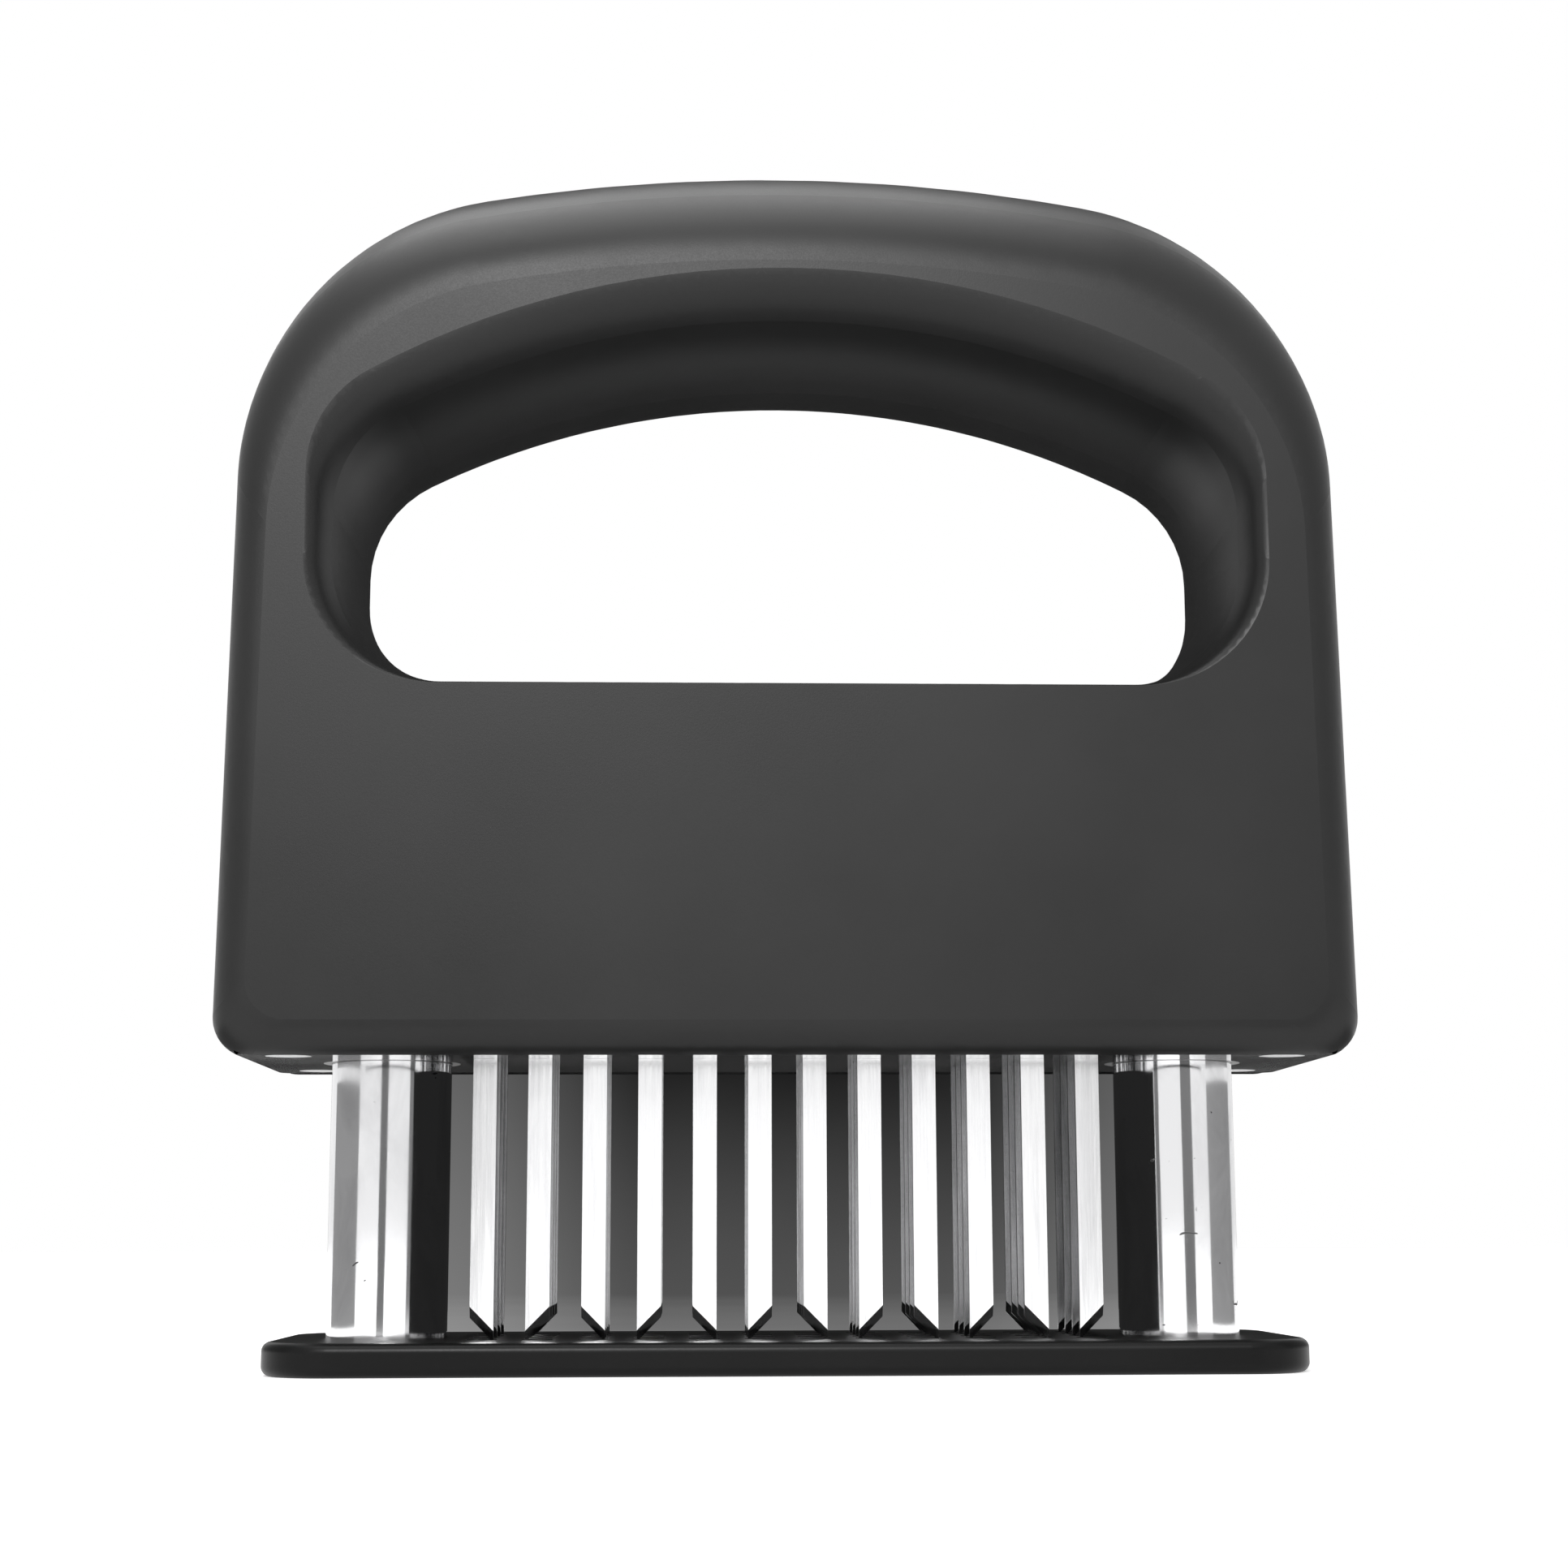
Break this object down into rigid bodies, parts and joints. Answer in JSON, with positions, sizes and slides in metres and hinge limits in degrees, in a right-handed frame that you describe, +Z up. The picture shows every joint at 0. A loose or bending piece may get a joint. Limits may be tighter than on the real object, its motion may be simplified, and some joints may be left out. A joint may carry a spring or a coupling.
{
  "type": "blade meat tenderizer",
  "caption": "Hand press with a D-shaped grip, rows of flat pointed blades and a sprung guard plate on two steel columns that slides up to bare the blades.",
  "frame": {"origin": "centre of the guard plate's underside, on the surface that the tool stands on", "axes": "+Z up from the guard plate to the grip, +X along the blade rows to the right, -Y is the front face"},
  "size_m": [0.1292, 0.041, 0.1441],
  "materials": {
    "housing_plastic": "satin black moulding",
    "cover_plastic": "gloss black moulding",
    "guard_plastic": "satin black moulding",
    "inner_plastic": "plain moulding",
    "bush_plastic": "smooth acetal",
    "blade_steel": "ground stainless strip",
    "column_steel": "polished stainless tube",
    "plated_steel": "bright zinc",
    "spring_steel": "drawn stainless wire"
  },
  "bodies": {
    "handle": {"front_shell": "housing_plastic", "rear_shell": "housing_plastic", "shell_screws": "plated_steel", "blade_frame": "inner_plastic", "base_cover": "cover_plastic", "base_cover_screws": "plated_steel", "blade_cartridge_1": "inner_plastic", "blade_cartridge_2": "inner_plastic", "blade_cartridge_3": "inner_plastic", "blade_cartridge_4": "inner_plastic", "blade_row_1": "blade_steel", "blade_row_2": "blade_steel", "blade_row_3": "blade_steel", "blade_row_4": "blade_steel", "retaining_rods": "plated_steel", "left_guide_bush": "bush_plastic", "left_spring_post": "inner_plastic", "left_spring": "spring_steel", "right_guide_bush": "bush_plastic", "right_spring_post": "inner_plastic", "right_spring": "spring_steel"},
    "guard": {"guard_plate": "guard_plastic", "left_column": "column_steel", "left_column_plug": "plated_steel", "left_column_screw": "plated_steel", "left_stop_collar": "plated_steel", "right_column": "column_steel", "right_column_plug": "plated_steel", "right_column_screw": "plated_steel", "right_stop_collar": "plated_steel"}
  },
  "joints": [
    {"name": "guard_slide", "type": "slide", "parent": "handle", "child": "guard", "axis": [0, 0, 1], "range_m": [0, 0.028], "stiffness_N_per_m": 1360, "springref_m": -0.008, "deforming": ["left_spring", "right_spring"]}
  ]
}
